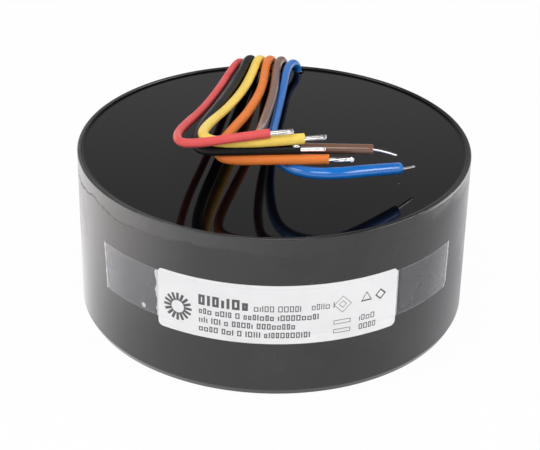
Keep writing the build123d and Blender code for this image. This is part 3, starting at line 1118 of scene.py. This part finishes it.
class TRANSFORMER_OT_label(bpy.types.Operator):
    """Sticks on the label, with plain marks in place of its print"""

    bl_idname = "transformer.label"
    bl_label = "Label"

    def execute(self, context):
        sizes = context.scene.transformer_sizes
        colours = context.scene.transformer_colours
        low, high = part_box("label")
        inner, deep = CASE_RADIUS + STAND_OFF, LABEL_THICK / 2
        stock = slab((-LABEL_HALF, low.z), (LABEL_HALF, high.z), LABEL_THICK)
        bpy.ops.object.mode_set(mode="EDIT")
        choose("EDGE", lambda middle, edge: abs(edge.verts[0].co.y - edge.verts[1].co.y) > deep)
        bpy.ops.mesh.bevel(offset=sizes.label_corner, segments=8, affect="EDGES")
        self.stick(stock, inner, "label_stock")
        place(stock, plain_material("label_stock", colours.label, 0.42), "label_stock", "label")
        ink = join(self.marks(low.z, sizes.print_height), "label_print")
        self.stick(ink, inner + LABEL_THICK, "label_print")
        place(ink, plain_material("label_ink", colours.ink, 0.5), "label_stock")
        return {"FINISHED"}

    def stick(self, obj, radius, name):
        """Cuts a flat piece across its length, so that it can bend, and bends it round the wall."""
        take(obj)
        bpy.ops.object.mode_set(mode="EDIT")
        cuts = int(2 * LABEL_HALF / BEND_PITCH)
        for i in range(1, cuts):
            bpy.ops.mesh.select_all(action="SELECT")
            spot = (-LABEL_HALF + 2 * LABEL_HALF * i / cuts, 0, 0)
            bpy.ops.mesh.bisect(plane_co=spot, plane_no=(1, 0, 0))
        rest()
        wrap(obj, radius, LABEL_MIDDLE / CASE_RADIUS)
        settle(obj, name, 50)

    def marks(self, foot, thick):
        """Every printed mark as a thin block, placed from the label's left end and foot."""

        def spot(x, z):
            return x * MM - LABEL_HALF, foot + z * MM

        blocks = []
        for x, z, words, height, stroke in PRINT_LINES:
            blocks += greeked_line(*spot(x, z), words, height * MM, stroke * MM)
        for x, z in PRINT_BARS:
            blocks += frame_of(spot(x, z), spot(x + BAR_SIZE[0], z + BAR_SIZE[1]), BAR_STROKE * MM)
        pieces = [slab(low, high, thick) for low, high in blocks]
        x, z, *spoke, count = PRINT_RING
        pieces += spoked_mark(*spot(x, z), *(length * MM for length in spoke), count, thick)
        for x, z, radius, stroke, corners in PRINT_POLYGONS:
            pieces.append(outlined_polygon(*spot(x, z), radius * MM, stroke * MM, corners, thick))
        return pieces


# ---- clear tape ----
FROM_END = "from_end"  # how far a point of the tape is from its nearer cut end


def sheet_faces(columns, rows):
    """Faces of a thin sheet: two sides, each a grid of points column by column, and the rim."""
    count = rows + 1
    layer = (columns + 1) * count
    faces = []
    for column in range(columns):
        for row in range(rows):
            a = column * count + row
            b, c, d = a + 1, a + count + 1, a + count
            faces.append((a, b, c, d))
            faces.append((a + layer, d + layer, c + layer, b + layer))
    rim = [column * count for column in range(columns + 1)]
    rim += [columns * count + row for row in range(1, count)]
    rim += [column * count + rows for column in range(columns - 1, -1, -1)]
    rim += range(rows - 1, 0, -1)
    for a, b in zip(rim, rim[1:] + rim[:1]):
        faces.append((a, b, b + layer, a + layer))
    return faces


class TRANSFORMER_OT_tape(bpy.types.Operator):
    """Lays the clear tape over the label and the wall beside it"""

    bl_idname = "transformer.tape"
    bl_label = "Clear tape"

    def execute(self, context):
        low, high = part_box("clear_tape")
        teeth, tooth_depth, columns = 19, 0.6 * MM, 150
        slanted, serrated = 0.1, 0.03  # shares of a half that take up the end's slant and its teeth
        rows = teeth * 2
        points, from_end = [], []
        for side in (0, 1):
            for column in range(columns + 1):
                share = column / columns * 2 - 1
                near_end = max(0, abs(share) - 1 + slanted) / slanted
                at_end = max(0, abs(share) - 1 + serrated) / serrated
                for row in range(rows + 1):
                    short = self.cut_short(share, row / rows)
                    tooth = tooth_depth if row % 2 else 0
                    reach = abs(share) * TAPE_HALF - near_end * short - at_end * tooth
                    x = math.copysign(reach, share)
                    z = low.z + (high.z - low.z) * row / rows
                    points.append((x, -self.lift(x) - side * FILM_THICK, z))
                    from_end.append(TAPE_HALF - short - tooth - abs(x))
        tape = mesh_piece("clear_tape", points, sheet_faces(columns, rows))
        tape.data.attributes.new(FROM_END, "FLOAT", "POINT").data.foreach_set("value", from_end)
        wrap(tape, CASE_RADIUS, TAPE_MIDDLE / CASE_RADIUS)
        face_outwards(tape)
        settle(tape, "tape_film", 40)
        place(tape, tape_material(), "clear_film", "clear_tape")
        return {"FINISHED"}

    def cut_short(self, share, up):
        """How much shorter an end is at a share of the tape's width: its own slant, and unevenness."""
        uneven = (0.5 + noise.noise(Vector((up * 13, share, 0)))) * 0.55 * MM
        if share < 0:
            return uneven + 1.2 * MM * (1 - up)
        torn_corner = 0.9 * MM * max(0, 1 - up / 0.10)
        return uneven + 0.5 * MM * (1 - up) + torn_corner

    def lift(self, x):
        """How far the film stands off the case: over the label, and down past its two ends."""
        middle = LABEL_MIDDLE - TAPE_MIDDLE
        over = 0.215 * MM
        for beyond, run in ((middle - x, 1.4 * MM), (x - middle, 0.8 * MM)):
            if beyond > LABEL_HALF:
                return over + (STAND_OFF - over) * eased(min(1, (beyond - LABEL_HALF) / run))
        return over


def tape_material():
    """Clear film: a faint haze, white where it is cut, torn, creased, bubbled or lifted, and a painted
    highlight along its long edges.
    """
    material, tree, shader = new_material("clear_film", Base_Color=(0.84, 0.84, 0.89, 1), IOR=1.48)
    smudges = effect(tree, "smudges", Scale=60.0)
    tree.links.new(ramp(tree, smudges, 0, 1, 0.10, 0.2), shader.inputs["Roughness"])
    where = object_point(tree)
    x, y, z = split(tree, where)
    low, high = (corner.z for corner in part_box("clear_tape"))
    half_width = (high - low) / 2
    angle = maths(tree, "ARCTAN2", x, product(tree, y, -1))
    along = product(tree, angle, CASE_RADIUS)
    speckle = noise_value(tree, where, 800.0)
    coarse = noise_value(tree, where, 260.0, 4.0)

    from_end = add(tree, "ShaderNodeAttribute", attribute_name=FROM_END).outputs["Fac"]
    cut = ramp(tree, from_end, 0.35 * MM, 0.9 * MM, 1.0, 0.0)
    cut = product(tree, cut, ramp(tree, coarse, 0.36, 0.50, 0.15, 1.0))
    torn = ramp(tree, from_end, 0.5 * MM, 5.5 * MM, 1.0, 0.0)
    torn = product(tree, torn, ramp(tree, speckle, 0.50, 0.64))
    dull = ramp(tree, from_end, 0, 15 * MM, 1.0, 0.0)

    from_middle = apart(tree, along, TAPE_MIDDLE)
    free = ramp(tree, from_middle, LABEL_HALF + 0.2 * MM, LABEL_HALF + 1.2 * MM, 0.25, 1.0)
    # Painted highlight along the film's long edges, a quarter as strong over the label.
    off = apart(tree, z, low + half_width)
    edge = ramp(tree, off, half_width - 0.55 * MM, half_width - 0.15 * MM)
    edge = product(tree, edge, free)

    beside = maths(tree, "SUBTRACT", LABEL_MIDDLE - LABEL_HALF, along)
    width = ramp(tree, z, low + 3 * MM, high - 3 * MM, 0.75 * MM, 1.05 * MM)
    width = maths(tree, "ADD", width, ramp(tree, coarse, 0.35, 0.65, -0.45 * MM, 0.55 * MM))
    lifted = maths(tree, "LESS_THAN", beside, width)
    lifted = product(tree, lifted, maths(tree, "GREATER_THAN", beside, -0.05 * MM))
    fold = apart(tree, along, LABEL_MIDDLE + LABEL_HALF + 0.25 * MM)
    crease = maths(tree, "LESS_THAN", fold, 0.3 * MM)

    turn, rise = math.radians(-37.8), 1.8 * MM
    spot = (CASE_RADIUS * math.sin(turn), -CASE_RADIUS * math.cos(turn), low + rise)
    bubble = ramp(tree, distance(tree, where, spot), 0.75 * MM, 1.2 * MM, 1.0, 0.0)

    haze = ramp(tree, x, -60 * MM, 50 * MM, 0.067, 0.042)
    alpha = product(tree, free, haze)
    # Each mask whitens the film; edge is the painted highlight along the long edges.
    for mask, amount in (
        (dull, 0.08), (cut, 0.6), (torn, 0.16), (edge, 0.06), (lifted, 0.62), (crease, 0.5), (bubble, 0.5),
    ):
        alpha = maths(tree, "ADD", product(tree, mask, amount), alpha, clamp=True)
    tree.links.new(alpha, shader.inputs["Alpha"])
    return material


# ---- bush ----
class TRANSFORMER_OT_bush(bpy.types.Operator):
    """Turns the knurled brass bush with its thread"""

    bl_idname = "transformer.bush"
    bl_label = "Fixing bush"

    def execute(self, context):
        low, high = BUSH_LOW.z, BUSH_HIGH.z
        radius, bore = BUSH_HIGH.x, 3.4 * MM
        waist = radius - 1.2 * MM
        middle = (low + high) / 2
        chamfer, groove = 0.5 * MM, 2.5 * MM
        mouth, depth, point = low + 0.8 * MM, low + 18 * MM, 1.2 * MM
        pitch, rise = 1.25 * MM, 0.62 * MM
        outline = [
            (bore + rise + 0.2 * MM, low), (radius - chamfer, low), (radius, low + chamfer),
            (radius, middle - groove), (waist, middle - groove), (waist, middle + groove),
            (radius, middle + groove), (radius, high - chamfer), (radius - chamfer, high), (0, high),
            (0, depth + point), (bore, depth), (bore + rise, depth - 0.2 * MM), (bore + rise, mouth),
        ]
        body = turned("bush", outline, 144)
        ridges, cut, plain_end = 36, 0.04, 2 * MM
        for v in body.data.vertices:
            knurled = groove / 2 < abs(v.co.z - middle) < high - plain_end - middle
            if knurled and v.co.xy.length > radius - 0.01 * MM:
                angle = math.atan2(v.co.y, v.co.x)
                v.co.xy *= 1 - cut * (0.5 + 0.5 * math.cos(angle * ridges))
        thread = self.thread(bore, rise, pitch, mouth, depth - 0.4 * MM)
        bush = join([body, thread], "threaded_bush")
        settle(bush, "threaded_bush", 30)
        brass = metal_material("bush_brass", context.scene.transformer_colours.brass, 0.24, 0.15)
        place(bush, brass, "bush_brass", "fixing_bush")
        return {"FINISHED"}

    def thread(self, bore, rise, pitch, low, high):
        """One ridge that winds up the wall of the bore and fades out over half a turn at its ends."""
        steps = 48
        total = int((high - low - pitch) / pitch * steps)
        root, back = bore + rise, bore + rise + 0.15 * MM
        half_root, half_crest = 0.46, 0.1  # shares of the pitch
        points = []
        for i in range(total + 1):
            a = FULL_TURN * i / steps
            z = low + pitch / 2 + pitch * i / steps
            crest = root - rise * min(1, 2 * i / steps, 2 * (total - i) / steps)
            for r, up in (
                (root, -half_root), (crest, -half_crest), (crest, half_crest),
                (root, half_root), (back, half_root), (back, -half_root),
            ):
                points.append((r * math.cos(a), r * math.sin(a), z + up * pitch))
        return mesh_piece("thread", points, capped_faces(total + 1, 6))


# ---- wound ring ----
class TRANSFORMER_OT_ring(bpy.types.Operator):
    """Winds the steel core, the tape layers and the three windings"""

    bl_idname = "transformer.ring"
    bl_label = "Wound ring"

    def execute(self, context):
        colours = context.scene.transformer_colours
        film = plain_material("wrap_film", colours.film, 0.3)
        copper = metal_material("enamelled_copper", colours.copper, 0.22, 0.25)
        steel = metal_material("core_steel", colours.steel, 0.3, 0.2)
        low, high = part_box("core")
        section = self.strip_outline(inner_radius("core"), high.x, low.z, high.z)
        core = settle(turned("strip_core", section, 128), "strip_core", 30)
        place(core, steel, "core_steel", "core")
        for node, (ridges, deep, lean) in LAYERS.items():
            wire = not node.endswith("wrap")
            layer = self.layer(node, ridges, deep * MM, lean, wire)
            place(layer, copper if wire else film, "enamelled_copper" if wire else "wrap_film", node)
        return {"FINISHED"}

    def strip_outline(self, inner, outer, low, high):
        """Section of the core: the edges of its strip show as fine steps on its top face."""
        points = [(inner, low), (outer, low)]
        turns, step = 40, 0.06 * MM
        width = (outer - inner) / turns
        for i in range(turns):
            r = outer - i * width
            points += [(r, high), (r - width * 0.55, high), (r - width * 0.6, high - step)]
        points.append((inner, high))
        return points

    def layer(self, node, ridges, deep, lean, wire):
        """A hollow ring whose outside shows its turns: round ones of wire, or lapped ones of tape."""
        low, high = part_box(node)
        inner, outer = inner_radius(node), high.x
        corner = 0.6 * MM + (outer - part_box("core")[1].x)
        section = rounded_section(inner, outer, low.z, high.z, min(corner, 7 * MM), 4)
        per_ridge = 4 if wire else 3
        steps = ridges * per_ridge
        middle = Vector(((inner + outer) / 2, (low.z + high.z) / 2))
        points = []
        for step in range(steps):
            if wire:
                dip = 0.5 - 0.5 * math.cos(FULL_TURN * step / per_ridge)
            else:
                dip = (step % per_ridge) / (per_ridge - 1)
            for spot in map(Vector, section):
                swing = lean * (spot.y - middle.y) / (high.z - low.z)
                r, z = spot + (middle - spot).normalized() * (deep * dip)
                a = FULL_TURN * step / steps + swing
                points.append((r * math.cos(a), r * math.sin(a), z))
        ring = mesh_piece(f"{node}_turns", points, ring_faces(steps, len(section), close=True))
        face_outwards(ring)
        return settle(ring, f"{node}_turns", 60)


# ---- stage ----
def empty_tree(owner, output):
    """Clears the shader nodes of a material or world and gives it a new output."""
    owner.use_nodes = True
    tree = owner.node_tree
    tree.nodes.clear()
    return tree, tree.nodes.new(output)


class TRANSFORMER_OT_stage(bpy.types.Operator):
    """Sets the floor, the studio light and the camera"""

    bl_idname = "transformer.stage"
    bl_label = "Stage"

    def execute(self, context):
        self.floor()
        self.world(context.scene)
        self.lamps()
        self.camera(context.scene)
        context.scene.view_settings.view_transform = "Standard"
        return {"FINISHED"}

    def floor(self):
        """Pale paint under the object; white to the camera, and brighter than white in a gloss."""
        rest()
        bpy.ops.mesh.primitive_plane_add(size=FLOOR_SIZE, location=(0, 0, -FLOOR_DROP))
        floor = bpy.context.object
        floor.name = "floor"
        material = bpy.data.materials.new("floor")
        tree, out = empty_tree(material, "ShaderNodeOutputMaterial")
        paint = add(tree, "ShaderNodeBsdfDiffuse", Color=(FLOOR_PAINT, FLOOR_PAINT, FLOOR_PAINT, 1))
        white = tree.nodes.new("ShaderNodeEmission")
        path = tree.nodes.new("ShaderNodeLightPath").outputs
        glossy = path["Is Glossy Ray"]
        where = object_point(tree)
        x, _, _ = split(tree, where)
        pool = ramp(tree, distance(tree, where, POOL_MIDDLE), *POOL_REACH, 1.0, 0.0)
        brighter = ramp(tree, x, *GLOW_SPAN, GLOW_LEFT, GLOW_RIGHT)
        brighter = maths(tree, "ADD", brighter, product(tree, pool, POOL_GLOW))
        brighter = maths(tree, "ADD", product(tree, brighter, glossy), 1.0)
        tint = blend_colour(tree, glossy, (1, 1, 1), STUDIO_COLOUR)
        tint = blend_colour(tree, product(tree, pool, glossy), tint, POOL_COLOUR)
        tree.links.new(tint, white.inputs["Color"])
        tree.links.new(brighter, white.inputs["Strength"])
        seen = maths(tree, "MAXIMUM", path["Is Camera Ray"], glossy)
        seen = maths(tree, "MAXIMUM", seen, path["Is Transmission Ray"])
        blend_shaders(tree, product(tree, seen, FLOOR_WHITE), paint, white, out)
        dress(floor, material)

    def world(self, scene):
        """White to the camera; to the object, brightest low down and greyer overhead."""
        scene.world = bpy.data.worlds.new("studio")
        tree, out = empty_tree(scene.world, "ShaderNodeOutputWorld")
        x, _, z = split(tree, tree.nodes.new("ShaderNodeTexCoord").outputs["Generated"])
        path = tree.nodes.new("ShaderNodeLightPath").outputs
        soft = ramp(tree, z, *WORLD_SPAN, *WORLD_SOFT)
        gloss = levels(tree, z, WORLD_GLOSS)
        choice = tree.nodes.new("ShaderNodeMix")
        for index, value in ((0, path["Is Glossy Ray"]), (2, soft), (3, gloss)):
            tree.links.new(value, choice.inputs[index])
        side = ramp(tree, x, -1.0, 1.0, 1.0 + WORLD_SIDE, 1.0 - WORLD_SIDE)
        studio = add(tree, "ShaderNodeBackground", Color=(*STUDIO_COLOUR, 1))
        tree.links.new(product(tree, choice.outputs[0], side), studio.inputs["Strength"])
        white = add(tree, "ShaderNodeBackground", Color=(1, 1, 1, 1), Strength=1.0)
        blend_shaders(tree, path["Is Camera Ray"], studio, white, out)

    def lamps(self):
        for name, spot, width, height, power, glossy in LAMPS:
            data = bpy.data.lights.new(name, "AREA")
            data.shape = "RECTANGLE"
            data.size, data.size_y = width, height
            data.energy = power
            lamp = add_object(name, data)
            lamp.location = spot
            lamp.visible_glossy = glossy
            lamp.rotation_euler = (LAMP_AIM - Vector(spot)).to_track_quat("-Z", "Y").to_euler()

    def camera(self, scene):
        data = bpy.data.cameras.new("camera")
        data.lens, data.sensor_width = CAMERA_LENS, CAMERA_SENSOR
        data.clip_start, data.clip_end = 0.01, 50
        camera = add_object("camera", data)
        ahead = (CAMERA_AIM - CAMERA_STAND).normalized()
        level = ahead.to_track_quat("-Z", "Y")
        camera.location = CAMERA_STAND
        camera.rotation_euler = (Quaternion(ahead, CAMERA_ROLL) @ level).to_euler()
        scene.camera = camera


# ---- panel and running order ----
STEPS = ("case", "resin", "leads", "label", "tape", "bush", "ring", "stage")


class TRANSFORMER_PT_panel(bpy.types.Panel):
    """Lists the steps that build the transformer"""

    bl_label = "Potted Transformer"
    bl_idname = "TRANSFORMER_PT_panel"
    bl_space_type = "VIEW_3D"
    bl_region_type = "UI"
    bl_category = "Transformer"

    def draw(self, context):
        for group in (context.scene.transformer_sizes, context.scene.transformer_colours):
            box = self.layout.box()
            for key in group.bl_rna.properties.keys():
                if key not in ("rna_type", "name"):
                    box.prop(group, key)
        for step in STEPS:
            self.layout.operator(f"transformer.{step}")


CLASSES = (
    TransformerSizes,
    TransformerColours,
    TRANSFORMER_OT_case,
    TRANSFORMER_OT_resin,
    TRANSFORMER_OT_leads,
    TRANSFORMER_OT_label,
    TRANSFORMER_OT_tape,
    TRANSFORMER_OT_bush,
    TRANSFORMER_OT_ring,
    TRANSFORMER_OT_stage,
    TRANSFORMER_PT_panel,
)


def register():
    for item in CLASSES:
        bpy.utils.register_class(item)
    bpy.types.Scene.transformer_sizes = PointerProperty(type=TransformerSizes)
    bpy.types.Scene.transformer_colours = PointerProperty(type=TransformerColours)


def unregister():
    del bpy.types.Scene.transformer_colours
    del bpy.types.Scene.transformer_sizes
    for item in reversed(CLASSES):
        bpy.utils.unregister_class(item)


def main():
    register()
    for step in STEPS:
        getattr(bpy.ops.transformer, step)()


if __name__ == "__main__":
    main()
